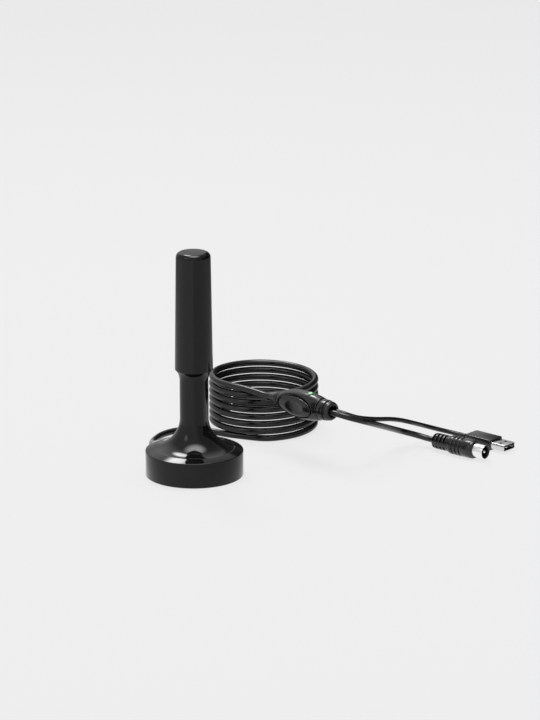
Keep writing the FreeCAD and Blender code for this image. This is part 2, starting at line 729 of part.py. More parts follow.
def aerial_plug():
    place = plug_place("aerial", size("plug_body_radius"))
    end = "relief_length + plug_body_length"
    nose = end + " - plug_nose_length"
    outline = [("0", "0"), ("0", "relief_rear_radius"), ("relief_taper", "relief_radius"),
               ("relief_length", "relief_radius"), ("relief_length", "plug_nose_radius"),
               ("relief_length + plug_nose_length", "plug_body_radius")]
    for ring in range(3):
        at = "relief_length + plug_groove_first + plug_groove_pitch * %d" % ring
        low = "plug_body_radius - plug_groove_depth"
        outline += [(at, "plug_body_radius"), (at, low), (at + " + plug_groove_width", low),
                    (at + " + plug_groove_width", "plug_body_radius")]
    outline += [(nose, "plug_body_radius"), (end, "plug_nose_radius"), (end, "0")]
    body = turned("plug_body_turned", outline, "H_Axis")
    slots = []
    for slot in range(4):
        for side in (0, 1):
            at = "relief_slot_first + relief_slot_pitch * %d" % slot
            low = "relief_radius - relief_slot_depth" if side else "relief_radius * -1 - trim_margin"
            slots.append(block("relief_slot", "relief_slot_width", "relief_radius * 2 + trim_margin * 2",
                               "relief_slot_depth + trim_margin", at, "relief_radius * -1 - trim_margin", low))
    cutter = doc.addObject("Part::MultiFuse", "relief_slots")
    cutter.Shapes = slots
    keep(boolean("Cut", "plug_body_slotted", body, cutter), "aerial_plug_body", place)
    bore = "aerial_shell_radius - aerial_shell_wall"
    front = end + " + aerial_shell_length"
    keep(turned("aerial_plug_shell", [(end, bore), (end, "aerial_shell_radius"), (front, "aerial_shell_radius"),
                                      (front, bore)], "H_Axis"), "aerial_plug_shell", place)
    face = end + " + aerial_insulator_length"
    insulator = turned("aerial_plug_insulator", [
        (end, "aerial_pin_radius"), (end, bore), (face, bore), (face, "aerial_pin_radius")], "H_Axis")
    keep(insulator, "aerial_plug_insulator", place)
    point = front + " - aerial_shell_wall"
    pin = turned("aerial_plug_pin", [
        (end, "0"), (end, "aerial_pin_radius"), (point + " - aerial_pin_taper", "aerial_pin_radius"),
        (point, "aerial_pin_radius / 2"), (point, "0")], "H_Axis")
    keep(pin, "aerial_plug_pin", place)


def usb_plug():
    place = plug_place("usb", size("usb_body_height") / 2)
    body = doc.addObject("PartDesign::Body", "usb_body")
    near, far = "usb_relief_length", "usb_relief_length + usb_body_length"
    side = "usb_body_width / 2"
    sketch = outline_sketch(body, "usb_body_plan", [
        (near, "-1 * " + side + " + usb_body_bevel"), (near + " + usb_body_bevel", "-1 * " + side),
        (far, "-1 * " + side), (far, side), (near + " + usb_body_bevel", side),
        (near, side + " - usb_body_bevel")], "XY_Plane")
    pad = body.newObject("PartDesign::Pad", "usb_body_pad")
    pad.Profile = sketch
    pad.Midplane = True
    pad.setExpression("Length", cells("usb_body_height"))
    doc.recompute()
    rims = [i for i, edge in enumerate(pad.Shape.Edges, start=1)
            if abs(edge.Vertexes[0].Z - edge.Vertexes[1].Z) < 0.01]
    bevel = body.newObject("PartDesign::Chamfer", "usb_body_bevel_cut")
    bevel.Base = (pad, ["Edge%d" % i for i in rims])
    bevel.setExpression("Size", cells("usb_body_bevel"))
    doc.recompute()
    relief = doc.addObject("Part::Cone", "usb_relief")
    bind(relief, Radius1="usb_lead_radius + usb_relief_wall", Radius2="usb_relief_radius",
         Height="usb_relief_length")
    relief.Placement.Rotation = Rotation(Vector(0, 1, 0), 90)
    keep(boolean("Fuse", "usb_body_whole", body, relief), "usb_plug_body", place)
    usb_shell(place, far)


def usb_shell(place, far):
    wide, tall = "usb_shell_width", "usb_shell_height"
    tube = block("usb_tube", "usb_shell_length", wide, tall, far, wide + " / -2", tall + " / -2")
    inner = block("usb_tube_inner", "usb_shell_length", wide + " - usb_shell_wall * 2",
                  tall + " - usb_shell_wall * 2", far, wide + " / -2 + usb_shell_wall",
                  tall + " / -2 + usb_shell_wall")
    shell = boolean("Cut", "usb_tube_open", tube, inner)
    for side in (-1, 1):
        window = block("usb_window_cut", "usb_window", "usb_window", tall + " * 2",
                       far + " + usb_window_setback", "usb_window_spread * %d - usb_window / 2" % side,
                       tall + " * -1")
        shell = boolean("Cut", "usb_tube_window", shell, window)
    keep(shell, "usb_plug_shell", place)
    ceiling = tall + " / 2 - usb_shell_wall"
    tongue = block("usb_tongue_block", "usb_shell_length - usb_tongue_recess", wide + " - usb_shell_wall * 2",
                   "usb_tongue_thickness", far, wide + " / -2 + usb_shell_wall",
                   ceiling + " - usb_tongue_thickness")
    carry(tongue, "usb_plug_tongue", place)
    contacts = []
    for index in range(4):
        contacts.append(block("usb_contact", "usb_shell_length - usb_contact_recess", "usb_contact_width",
                              "usb_contact_thickness", far,
                              "usb_contact_pitch * %.1f - usb_contact_width / 2" % (index - 1.5),
                              ceiling + " - usb_tongue_thickness - usb_contact_thickness"))
    group = doc.addObject("Part::Compound", "usb_plug_contacts")
    group.Links = contacts
    keep(group, "usb_plug_contacts", place)


mast_sleeve()
stem_base()
base_drum()
foot_pieces()
base_screws()
elements()
cable_gland()
inner_lead()
feed_cable()
booster()
leads()
aerial_plug()
usb_plug()
doc.recompute()

failed = [obj.Name for obj in doc.Objects if "Invalid" in obj.State or "Error" in obj.State]
failed += [obj.Label for obj in parts if obj.Shape.isNull() or not obj.Shape.isValid()]
if failed:
    raise RuntimeError("failed: " + ", ".join(failed))
os.makedirs("parts", exist_ok=True)
for obj in parts:
    obj.Shape.exportStep(os.path.join("parts", obj.Label + ".step"))
    print("%s: solids %d, volume %.1f" % (obj.Label, len(obj.Shape.Solids), obj.Shape.Volume))
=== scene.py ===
import math
import bpy
from mathutils import Matrix, Vector


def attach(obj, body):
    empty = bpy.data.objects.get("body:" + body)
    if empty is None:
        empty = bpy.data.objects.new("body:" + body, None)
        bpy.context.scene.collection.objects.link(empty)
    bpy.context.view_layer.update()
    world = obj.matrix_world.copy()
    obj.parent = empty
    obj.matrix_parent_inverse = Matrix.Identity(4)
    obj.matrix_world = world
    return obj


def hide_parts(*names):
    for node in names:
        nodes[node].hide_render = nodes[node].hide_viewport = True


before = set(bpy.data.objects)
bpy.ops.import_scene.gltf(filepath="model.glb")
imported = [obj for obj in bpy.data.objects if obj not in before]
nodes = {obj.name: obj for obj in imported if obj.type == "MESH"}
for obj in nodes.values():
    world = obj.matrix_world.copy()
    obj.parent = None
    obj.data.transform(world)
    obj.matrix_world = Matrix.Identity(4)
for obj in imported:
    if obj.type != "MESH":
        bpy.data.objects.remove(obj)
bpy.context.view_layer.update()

# Indoor TV antenna: a glossy mast on a flared foot, its feed cable in a neat coil, an in-line
# booster hung between the coil and its two leads, an aerial plug and a USB plug on the floor.
# Sizes are millimetres, as in the part's source; everything built is in metres.

scene = bpy.context.scene
scene.view_settings.view_transform = "Standard"
MM = 0.001


# Places of the pieces, from their own axes to the shared frame. Each lies along X to begin with.

def turn(axis, degrees):
    return Matrix.Rotation(math.radians(degrees), 4, axis)


def moved(x, y, z):
    return Matrix.Translation((x * MM, y * MM, z * MM))


UPRIGHT = turn("Y", -90)
BOOSTER_PLACE = moved(51.6, 60.0, 36.6) @ turn("Z", -46.1) @ turn("Y", -2.5) @ turn("X", 95)
AERIAL_PLACE = moved(163.8, 56.7, 6.6) @ turn("Z", -39.4)
USB_PLACE = moved(187.5, 74.3, 3.8) @ turn("Z", -41.5)
GLAND_PLACE = moved(0, 0, 10.3) @ turn("Z", 125)
LENS_TILT = math.radians(83)
LENS_AXIS = Vector((0, math.sin(LENS_TILT), math.cos(LENS_TILT)))
LENS_SPOT = Vector((41.12, 9.53, 0.82))


# Materials

def tone(code):
    """Linear colour of an sRGB hex value."""
    parts = [int(code[i:i + 2], 16) / 255 for i in (0, 2, 4)]
    linear = [p / 12.92 if p <= 0.04045 else ((p + 0.055) / 1.055) ** 2.4 for p in parts]
    return (*linear, 1.0)


def add(tree, kind, inputs=None, **settings):
    """Add a node, set its properties, and fill or link its inputs."""
    node = tree.nodes.new(kind)
    for name, value in settings.items():
        setattr(node, name, value)
    for socket, value in (inputs or {}).items():
        if isinstance(value, bpy.types.NodeSocket):
            tree.links.new(value, node.inputs[socket])
        else:
            node.inputs[socket].default_value = value
    return node


def finish_named(name, **sockets):
    """A new material with one Principled shader, its uniform values set on its own sockets."""
    material = bpy.data.materials.new(name)
    material.use_nodes = True
    shader = material.node_tree.nodes["Principled BSDF"]
    for socket, value in sockets.items():
        shader.inputs[socket.replace("_", " ")].default_value = value
    return material, material.node_tree, shader


def spread(tree, shader, pattern, dark, light, rough_low, rough_high):
    """Let one pattern vary the colour and the roughness a little."""
    shade = add(tree, "ShaderNodeMix", {"Factor": pattern, "A": tone(dark), "B": tone(light)},
                data_type="RGBA")
    tree.links.new(shade.outputs["Result"], shader.inputs["Base Color"])
    rough = add(tree, "ShaderNodeMapRange", {"Value": pattern, "From Min": 0.3, "From Max": 0.7,
                                             "To Min": rough_low, "To Max": rough_high})
    tree.links.new(rough.outputs["Result"], shader.inputs["Roughness"])


CLOUD = 7 * MM          # a moulding's tone and sheen drift over about this length
GRAIN_HEIGHT = 0.1 * MM


def moulded(name, dark, light, rough_low, rough_high, grain, depth, ior):
    """Moulded plastic: cloudy tone and sheen, over the grain or the long waves of its tool.

    A tool's real grain, near 0.05 mm, is too fine to show, so it is drawn at 0.5 to 0.9 mm.
    """
    material, tree, shader = finish_named(name, IOR=ior)
    place = add(tree, "ShaderNodeTexCoord").outputs["Object"]
    cloud = add(tree, "ShaderNodeTexNoise", {"Vector": place, "Scale": 1 / CLOUD, "Detail": 4.0})
    spread(tree, shader, cloud.outputs["Fac"], dark, light, rough_low, rough_high)
    pits = add(tree, "ShaderNodeTexNoise", {"Vector": place, "Scale": 1 / (grain * MM), "Detail": 1.5})
    bump = add(tree, "ShaderNodeBump", {"Height": pits.outputs["Fac"], "Strength": depth,
                                        "Distance": GRAIN_HEIGHT})
    tree.links.new(bump.outputs["Normal"], shader.inputs["Normal"])
    return material


def plated(name, dark, light, rough_low, rough_high, line):
    """Plated or bright metal: fine drawing lines along one way and a little handling haze.

    Real lines, near 0.02 mm apart, are too fine to show, so they are drawn an eighth of a line's
    length apart, which is about 0.1 mm.
    """
    material, tree, shader = finish_named(name, Metallic=1.0)
    place = add(tree, "ShaderNodeTexCoord").outputs["Object"]
    lines = add(tree, "ShaderNodeMapping", {"Vector": place, "Rotation": (0.0, 0.0, math.radians(40)),
                                            "Scale": (1.0, 8.0, 8.0)})
    drawn = add(tree, "ShaderNodeTexNoise", {"Vector": lines.outputs["Vector"],
                                             "Scale": 1 / (line * MM), "Detail": 3.0})
    spread(tree, shader, drawn.outputs["Fac"], dark, light, rough_low, rough_high)
    return material


def lamp_lens(middle):
    """Green acrylic lens over a lit diode: a pale glowing middle in a deep green rim."""
    material, tree, shader = finish_named("lit_green_acrylic", Base_Color=tone("0c2412"), IOR=1.3,
                                          Roughness=0.45, Emission_Strength=0.95)
    place = add(tree, "ShaderNodeTexCoord").outputs["Object"]
    reach = add(tree, "ShaderNodeVectorMath", {0: place, 1: middle}, operation="DISTANCE")
    rim = add(tree, "ShaderNodeMapRange", {"Value": reach.outputs["Value"], "From Min": 1.1 * MM,
                                           "From Max": 2.1 * MM}, interpolation_type="SMOOTHSTEP")
    glow = add(tree, "ShaderNodeMix", {"Factor": rim.outputs[0], "A": tone("bdf9c8"), "B": tone("1c4023")},
               data_type="RGBA")
    tree.links.new(glow.outputs["Result"], shader.inputs["Emission Color"])
    return material


# A moulding has a dark and a light tone, its lowest and highest roughness, its grain in mm, the
# grain's depth and its IOR. A metal has the length of its drawing lines in mm in place of the last three.

# Polished ABS from a buffed tool: a deep black mirror, with faint long waves in its reflections
GLOSS = moulded("polished_black_abs", "090909", "0d0d0e", 0.02, 0.04, 14.0, 0.02, 1.365)
# ABS from a fine-blasted tool: a softer black that spreads every highlight a little
BOOSTER = moulded("satin_black_casing", "161617", "1a1a1b", 0.15, 0.19, 0.5, 0.015, 1.5)
# Extruded PVC: a smooth black sheath with long, slightly broken highlights
PVC = moulded("black_pvc_sheath", "0b0b0c", "101011", 0.1, 0.15, 0.9, 0.02, 1.46)
# Injection-moulded PVC: a duller black than the sheath, with soft glints on its ribs
PLUG = moulded("moulded_black_pvc", "0e0e0f", "141415", 0.16, 0.22, 0.6, 0.02, 1.48)
# Pressed rubber: dark grey, matt and grained
RUBBER = moulded("black_foot_rubber", "191919", "222222", 0.7, 0.85, 0.7, 0.3, 1.46)
# Dyed nylon: a dark and dry surface, against which bright contacts stand out
INNER = moulded("dark_nylon_insulator", "080808", "0c0c0d", 0.35, 0.5, 0.5, 0.1, 1.4)
# Undyed nylon: milky white with a quiet sheen
PALE = moulded("natural_nylon", "d8d6cf", "e4e2dc", 0.4, 0.5, 0.5, 0.1, 1.5)
# Solder resist: a green lacquer with an even, low shine
BOARD = moulded("green_solder_resist", "12401f", "185228", 0.3, 0.4, 0.6, 0.1, 1.5)
# Sintered ferrite: dark grey, dull and a little stony
FERRITE = moulded("dark_ferrite", "2a2a2c", "333336", 0.5, 0.6, 0.5, 0.2, 1.5)
# Nickel plate on turned brass: a bright, colourless mirror with a trace of haze
NICKEL = plated("bright_nickel_plate", "dedede", "ececec", 0.1, 0.18, 0.8)
# Stamped sheet steel: a greyer and softer shine than nickel's
STEEL = plated("stamped_steel_shell", "c6c6c6", "d6d6d6", 0.16, 0.26, 0.9)
# Gilt brass: a warm yellow shine
BRASS = plated("gilt_brass_contact", "c79b45", "dbb45e", 0.15, 0.25, 0.8)
# Drawn copper: a reddish shine, blurred along its lines
COPPER = plated("drawn_copper", "b06a45", "c67f56", 0.2, 0.3, 0.8)
# Cast acrylic: the lamp's light seen in the lens, brightest just under its top
LAMP = lamp_lens(BOOSTER_PLACE @ ((LENS_SPOT + LENS_AXIS * 0.8) * MM))

# Finishes of the CAD nodes that are shown as they are
CARRIED_FINISH = {
    "foot_pad": RUBBER, "base_magnet": FERRITE, "magnet_backing": STEEL, "base_screws": STEEL,
    "lower_element": BRASS, "element_spacer": PALE, "upper_element": COPPER, "inner_lead": PVC,
    "booster_board": BOARD, "amplifier_can": STEEL, "usb_plug_tongue": INNER, "usb_plug_contacts": BRASS,
}
for node, material in CARRIED_FINISH.items():
    nodes[node].data.materials.clear()
    nodes[node].data.materials.append(material)


# Modelling

WELD = 0.002 * MM                # points nearer than this are one
CREASE = math.radians(32)        # an edge that turns by more than this stays sharp


def begin(add_shape, **options):
    """Start a piece from a shape of the modeller's, alone in the selection and open for editing."""
    bpy.ops.object.select_all(action="DESELECT")
    add_shape(**options)
    bpy.ops.object.mode_set(mode="EDIT")
    bpy.ops.mesh.select_all(action="SELECT")


def shift(x, y, z):
    bpy.ops.transform.translate(value=(x * MM, y * MM, z * MM))


def stretch(x, y, z):
    bpy.ops.transform.resize(value=(x, y, z), center_override=(0, 0, 0))


def done():
    """Close the edit with one skin whose faces all look outwards."""
    bpy.ops.mesh.select_all(action="SELECT")
    bpy.ops.mesh.remove_doubles(threshold=WELD)
    bpy.ops.mesh.normals_make_consistent(inside=False)
    bpy.ops.object.mode_set(mode="OBJECT")
    return bpy.context.object


def arc(along, radius, reach, first, last, steps):
    """Points of a section's arc round a centre, from one angle to another."""
    angles = [math.radians(first + (last - first) * step / steps) for step in range(steps + 1)]
    return [(along + reach * math.sin(angle), radius + reach * math.cos(angle)) for angle in angles]


def turned(profile, steps):
    """Turn a half section of (along, radius) points round the X axis."""
    begin(bpy.ops.mesh.primitive_circle_add, vertices=3, radius=MM)
    bpy.ops.mesh.merge(type="CENTER")
    shift(profile[0][0], 0, profile[0][1])
    for before, point in zip(profile, profile[1:]):
        step = ((point[0] - before[0]) * MM, 0, (point[1] - before[1]) * MM)
        bpy.ops.mesh.extrude_region_move(TRANSFORM_OT_translate={"value": step})
    bpy.ops.mesh.select_all(action="SELECT")
    bpy.ops.mesh.spin(steps=steps, angle=2 * math.pi, center=(0, 0, 0), axis=(1, 0, 0))
    return done()


def only(piece):
    bpy.ops.object.select_all(action="DESELECT")
    piece.select_set(True)
    bpy.context.view_layer.objects.active = piece


def changed(piece, kind, **settings):
    """Put a modifier on a piece and apply it."""
    change = piece.modifiers.new(kind.lower(), kind)
    for name, value in settings.items():
        setattr(change, name, value)
    only(piece)
    bpy.ops.object.modifier_apply(modifier=change.name)
    return piece


def rounded(piece, width, segments=3, angle=35):
    """Round the sharp edges of a piece."""
    return changed(piece, "BEVEL", width=width * MM, segments=segments, limit_method="ANGLE",
                   angle_limit=math.radians(angle))


def carved(piece, tool, operation="DIFFERENCE"):
    """Cut a piece with a tool, or keep what the two share, and put the tool away."""
    changed(piece, "BOOLEAN", operation=operation, object=tool, solver="EXACT")
    bpy.data.objects.remove(tool)
    return piece


def softened(piece, cell, rounds):
    """Even out a carved piece and soften every edge, as moulding does."""
    changed(piece, "REMESH", mode="VOXEL", voxel_size=cell * MM)
    return changed(piece, "SMOOTH", factor=0.5, iterations=rounds)


def settle(piece, name, place, material, slot, *replaced):
    """Smooth a finished piece, move it to its place and hand it over for the nodes it shows."""
    piece.name = name
    piece.data.materials.clear()
    piece.data.materials.append(material)
    only(piece)
    bpy.ops.object.shade_smooth_by_angle(angle=CREASE)
    piece.matrix_world = place
    bpy.ops.object.transform_apply(location=True, rotation=True, scale=True)
    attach(piece, "root")
    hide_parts(*replaced)


# Mast and foot

DRUM_TOP = 15.5         # the stem's rim stands on the drum's wall
DRUM_BORE = 30.7
SLEEVE_FOOT = 73.6      # the sleeve stands on the stem's collar
SLEEVE_BORE = 10.0
SLEEVE_ROOF = 151.3     # underside of the sleeve's closed top
MAST_TOP = 155.3
MIRROR_STEPS = 192      # faces round the large turnings, fine enough for clean reflections


def polished_sleeve():
    """A sleeve that narrows a little upwards, from its rounded lip to its softly rounded crown."""
    bore = [(SLEEVE_ROOF, 0), (SLEEVE_ROOF, SLEEVE_BORE), (SLEEVE_FOOT, SLEEVE_BORE)]
    lip = arc(74.5, 11.92, 0.9, -90, 0, 6)
    crown = arc(151.6, 8.0, 3.7, 2, 90, 16) + [(MAST_TOP, 0)]
    settle(turned(bore + lip + crown, MIRROR_STEPS), "polished_sleeve", UPRIGHT, GLOSS, "gloss_black",
           "mast_sleeve")


def flared_stem():
    """Rim, sloping shoulder, flare, neck and collar in one polished moulding."""
    rim = [(DRUM_TOP, 27.14), (DRUM_TOP, 33.15)] + arc(16.99, 32.55, 0.6, 0, 69, 6)
    # Two points close together at the crease keep the shading of shoulder and flare apart
    crease = [(19.36, 27.92), (19.42, 27.75)] + arc(28.19, 28.62, 8.8, 264, 254, 8)
    middle, oval = 33.22, 1.1007
    flare = [(along, middle + oval * (radius - middle))
             for along, radius in arc(40.1, middle, 21.35, 252.6, 180, 48)]
    collar = arc(66.6, 20.72, 11.0, 180, 140.5, 14)
    collar[-1] = (SLEEVE_FOOT, 12.29)
    spigot = [(SLEEVE_FOOT, 9.9), (81.6, 9.9), (81.6, 7.28)]
    inside = arc(41.96, 32.9, 25.62, 180, 257, 30) + [(DRUM_TOP, 27.14)]
    settle(turned(rim + crease + flare + collar + spigot + inside, MIRROR_STEPS), "flared_stem", UPRIGHT,
           GLOSS, "gloss_black", "stem_base")


def foot_drum():
    """The foot's wall, a shade narrower at its top, with the web across it."""
    skirt = [(6.2, 0), (6.2, DRUM_BORE), (0.4, DRUM_BORE), (0.4, 32.8), (0.55, 33.06), (0.8, 33.2)]
    wall = [(15.45, 33.1), (DRUM_TOP, 33.0), (DRUM_TOP, DRUM_BORE), (7.2, DRUM_BORE), (7.2, 0)]
    settle(turned(skirt + wall, MIRROR_STEPS), "foot_drum", UPRIGHT, GLOSS, "satin_black", "base_drum")


def ringed_gland():
    """The cable's strain relief in the drum's wall: a collar and two rings that taper outwards."""
    profile = [(30.5, 0), (30.5, 2.9), (33.2, 2.9), (33.2, 3.7), (34.6, 3.7), (34.6, 3.1), (35.2, 3.1),
               (35.2, 3.5), (36.6, 3.3), (36.6, 2.8), (37.2, 2.8), (37.2, 3.1), (39.3, 2.8), (39.3, 0)]
    settle(rounded(turned(profile, 64), 0.2), "ringed_gland", GLAND_PLACE, PLUG, "cable_black", "cable_gland")


# Booster

# Stations of the casing: how far along the cable, half width and half depth
CASING = [(10.50, 5.41, 5.25), (14.70, 6.90, 6.56), (20.20, 8.65, 7.54), (26.50, 9.89, 8.08),
          (32.00, 10.20, 8.20), (39.35, 9.94, 8.08), (46.41, 9.01, 7.63), (51.00, 7.78, 7.24)]
FRONT_EDGE = -1.52          # the two halves end a hair's breadth either side of the moulding seam
BACK_EDGE = -1.68
POCKET = (29.7, 17.7, 8.2)  # ovals: middle, half length and half width
GRIP = (30.3, 15.9, 6.9)
POCKET_FLOOR = 3.4
OVAL_DEPTH = 20.0
DISH_MIDDLE = 29.7
DISH_FLOOR = 6.9
DISH_RADIUS = 42.0


def casing_form():
    """The smooth casing: an oval ring drawn out along the cable through its stations."""
    rings = []
    for index in range(len(CASING) - 1):
        near, far = CASING[index], CASING[index + 1]
        before, after = CASING[max(index - 1, 0)], CASING[min(index + 2, len(CASING) - 1)]
        run = far[0] - near[0]
        leaving = [(far[k] - before[k]) / (far[0] - before[0]) * run for k in (1, 2)]
        arriving = [(after[k] - near[k]) / (after[0] - near[0]) * run for k in (1, 2)]
        for share in (0, 0.25, 0.5, 0.75):
            of_near = 2 * share ** 3 - 3 * share ** 2 + 1
            of_leaving = share ** 3 - 2 * share ** 2 + share
            of_arriving = share ** 3 - share ** 2
            oval = [of_near * near[k] + of_leaving * leaving[k - 1] + (1 - of_near) * far[k]
                    + of_arriving * arriving[k - 1] for k in (1, 2)]
            rings.append((near[0] + share * run, *oval))
    rings.append(CASING[-1])
    begin(bpy.ops.mesh.primitive_circle_add, vertices=128, radius=MM)
    bpy.ops.transform.rotate(value=math.pi / 2, orient_axis="Y", center_override=(0, 0, 0))
    stretch(1, rings[0][1], rings[0][2])
    shift(rings[0][0], 0, 0)
    bpy.ops.mesh.edge_face_add()
    for near, far in zip(rings, rings[1:]):
        step = ((far[0] - near[0]) * MM, 0, 0)
        bpy.ops.mesh.extrude_region_move(TRANSFORM_OT_translate={"value": step})
        stretch(1, far[1] / near[1], far[2] / near[2])
    return done()


def oval_tool(middle, half_length, half_width):
    """An upright oval through the thumb grip, for its pocket and for the grip itself."""
    begin(bpy.ops.mesh.primitive_cylinder_add, vertices=160, radius=MM, depth=OVAL_DEPTH * MM)
    stretch(half_length, half_width, 1)
    shift(middle, 0, POCKET_FLOOR + OVAL_DEPTH / 2)
    return done()


def shell_half(casing, name, front, node):
    """One half of the casing, cut off beside the moulding seam."""
    only(casing)
    bpy.ops.object.duplicate()
    bpy.ops.object.mode_set(mode="EDIT")
    bpy.ops.mesh.select_all(action="SELECT")
    level = FRONT_EDGE if front else BACK_EDGE
    bpy.ops.mesh.bisect(plane_co=(0, 0, level * MM), plane_no=(0, 0, 1), use_fill=True,
                        clear_inner=front, clear_outer=not front)
    settle(done(), name, BOOSTER_PLACE, BOOSTER, "booster_black", node)


def casing_halves():
    """The casing with the grip's pocket in its front, in two halves."""
    casing = softened(carved(casing_form(), oval_tool(*POCKET)), cell=0.24, rounds=6)
    shell_half(casing, "casing_front_half", True, "booster_top_shell")
    shell_half(casing, "casing_back_half", False, "booster_bottom_shell")
    bpy.data.objects.remove(casing)


def dished_grip():
    """The thumb grip: the casing's own form inside a smaller oval, hollowed by a wide dish."""
    grip = carved(casing_form(), oval_tool(*GRIP), "INTERSECT")
    begin(bpy.ops.mesh.primitive_uv_sphere_add, segments=192, ring_count=128, radius=DISH_RADIUS * MM)
    shift(DISH_MIDDLE, 0, DISH_FLOOR + DISH_RADIUS)
    grip = softened(carved(grip, done()), cell=0.2, rounds=16)
    settle(grip, "dished_grip", BOOSTER_PLACE, BOOSTER, "booster_black", "booster_grip")


def domed_lens():
    """The lamp's lens: a stem in the casing, a flange on its skin and a low dome."""
    lens = turned([(0, 0), (0, 1.5), (1.9, 1.5), (1.9, 2.05), (2.42, 2.0), (2.6, 1.72), (2.9, 1.5),
                   (3.12, 1.05), (3.24, 0.5), (3.26, 0)], 48)
    spot = LENS_SPOT - LENS_AXIS * 2.2
    lean = Vector((1, 0, 0)).rotation_difference(LENS_AXIS).to_matrix().to_4x4()
    settle(lens, "lamp_lens", BOOSTER_PLACE @ moved(*spot) @ lean, LAMP, "led_green", "booster_led")


def ringed_boots():
    """The flexible rings round the feed cable behind the casing and round both leads before it."""
    rear = [(0, 2.3), (0, 2.5), (5.2, 2.8), (5.2, 3.8), (6.4, 4.05), (6.4, 3.1), (7.0, 3.1), (7.0, 4.4),
            (8.1, 4.65), (8.1, 3.6), (8.7, 3.6), (8.7, 4.9), (9.8, 5.1), (9.8, 4.1), (10.7, 4.1),
            (10.7, 2.3), (0, 2.3)]
    settle(rounded(turned(rear, 96), 0.18), "rear_boot_rings", BOOSTER_PLACE, BOOSTER, "booster_black",
           "booster_rear_boot")
    front = [(50.5, 0), (50.5, 5.9), (51.9, 5.9), (51.9, 7.4), (56.5, 7.05), (56.5, 5.75), (57.5, 5.75),
             (57.5, 6.75), (59.4, 6.5), (60.4, 6.0), (60.9, 5.2), (60.9, 4.2), (60.6, 3.8), (60.0, 3.65),
             (57.4, 3.65), (57.4, 0)]
    settle(rounded(turned(front, 96), 0.22), "front_boot_rings", BOOSTER_PLACE, BOOSTER, "booster_black",
           "booster_front_boot")


# Plugs

def bar(x0, x1, y0, y1, z0, z1):
    """Add a square bar to the piece being edited."""
    middle = ((x0 + x1) / 2 * MM, (y0 + y1) / 2 * MM, (z0 + z1) / 2 * MM)
    bpy.ops.mesh.primitive_cube_add(size=MM, location=middle, scale=(x1 - x0, y1 - y0, z1 - z0))


def bars(*limits):
    """Square bars in one cutting tool."""
    begin(bpy.ops.mesh.primitive_cube_add, size=MM)
    bpy.ops.mesh.delete(type="VERT")
    for limit in limits:
        bar(*limit)
    return done()


def ribbed_plug_body():
    """The aerial plug's grip: a slotted strain relief and a thick barrel with three grooves."""
    relief = [(1.6, 0), (1.6, 3.4), (1.9, 4.2), (2.5, 5.0), (3.2, 5.4), (3.9, 5.5), (15.6, 5.5), (15.9, 5.3)]
    barrel = [(16.1, 5.3), (16.1, 5.8), (16.7, 6.35), (17.6, 6.6)]
    for groove in (20.0, 23.1, 26.2):
        barrel += [(groove, 6.6), (groove + 0.1, 5.9), (groove + 1.1, 5.9), (groove + 1.2, 6.6)]
    barrel += [(34.4, 6.6), (35.5, 6.4), (36.2, 6.1), (36.6, 5.7), (36.6, 0)]
    slots = []
    for start in (3.0, 6.0, 9.0, 12.0):
        slots.append((start, start + 1.5, -7, 7, 1.2, 7))
        slots.append((start, start + 1.7, -7, 7, -7, -2.0))
    body = rounded(carved(turned(relief + barrel, 96), bars(*slots)), 0.22, segments=2, angle=40)
    settle(body, "ribbed_plug_body", AERIAL_PLACE, PLUG, "plug_black", "aerial_plug_body")


def aerial_contacts():
    """The bright outer contact, its dark lining and the pin in the middle."""
    shell = [(36.4, 4.1), (36.4, 4.75), (44.85, 4.75), (45.05, 4.71), (45.1, 4.65), (44.4, 4.1), (36.4, 4.1)]
    settle(turned(shell, 96), "outer_contact", AERIAL_PLACE, NICKEL, "nickel", "aerial_plug_shell")
    lining = [(36.6, 0), (36.6, 4.05), (44.3, 4.05), (45.07, 4.63), (45.1, 4.6), (44.2, 3.75), (41.6, 3.6),
              (41.6, 0)]
    settle(turned(lining, 96), "contact_lining", AERIAL_PLACE, INNER, "grey_plastic", "aerial_plug_insulator")
    pin = [(36.6, 0), (36.6, 1.2), (43.3, 1.2), (44.0, 1.05), (44.4, 0.75), (44.6, 0.4), (44.65, 0)]
    settle(turned(pin, 48), "centre_pin", AERIAL_PLACE, NICKEL, "nickel", "aerial_plug_pin")


def chosen_edges(piece, wanted):
    """Select only the edges of the edited piece whose two ends both suit."""
    bpy.ops.mesh.select_all(action="DESELECT")
    bpy.ops.mesh.select_mode(type="EDGE")
    bpy.ops.object.mode_set(mode="OBJECT")
    for edge in piece.data.edges:
        ends = [piece.data.vertices[i].co / MM for i in edge.vertices]
        edge.select = all(wanted(end) for end in ends) and wanted((ends[0] + ends[1]) / 2)
    bpy.ops.object.mode_set(mode="EDIT")


def usb_grip_body():
    """The USB plug's grip: a soft-edged block with its back corners cut off, and a ringed relief."""
    begin(bpy.ops.mesh.primitive_cube_add, size=MM)
    stretch(23, 14, 7.6)
    shift(15.5, 0, 0)
    chosen_edges(bpy.context.object, lambda spot: spot.x < 4.1 and abs(spot.y) > 6.9)
    bpy.ops.mesh.bevel(offset=1.4 * MM, segments=1, affect="EDGES")
    body = rounded(done(), 1.25, segments=4, angle=30)
    relief = turned([(0, 0), (0, 2.1), (0.3, 2.3), (1.4, 2.45), (1.4, 2.15), (1.9, 2.15), (1.9, 2.6),
                     (3.2, 2.75), (3.2, 2.4), (3.6, 2.4), (3.6, 2.9), (5.4, 3.0), (5.4, 0)], 64)
    only(body)
    relief.select_set(True)
    bpy.ops.object.join()
    settle(body, "usb_grip_body", USB_PLACE, PLUG, "plug_black", "usb_plug_body")


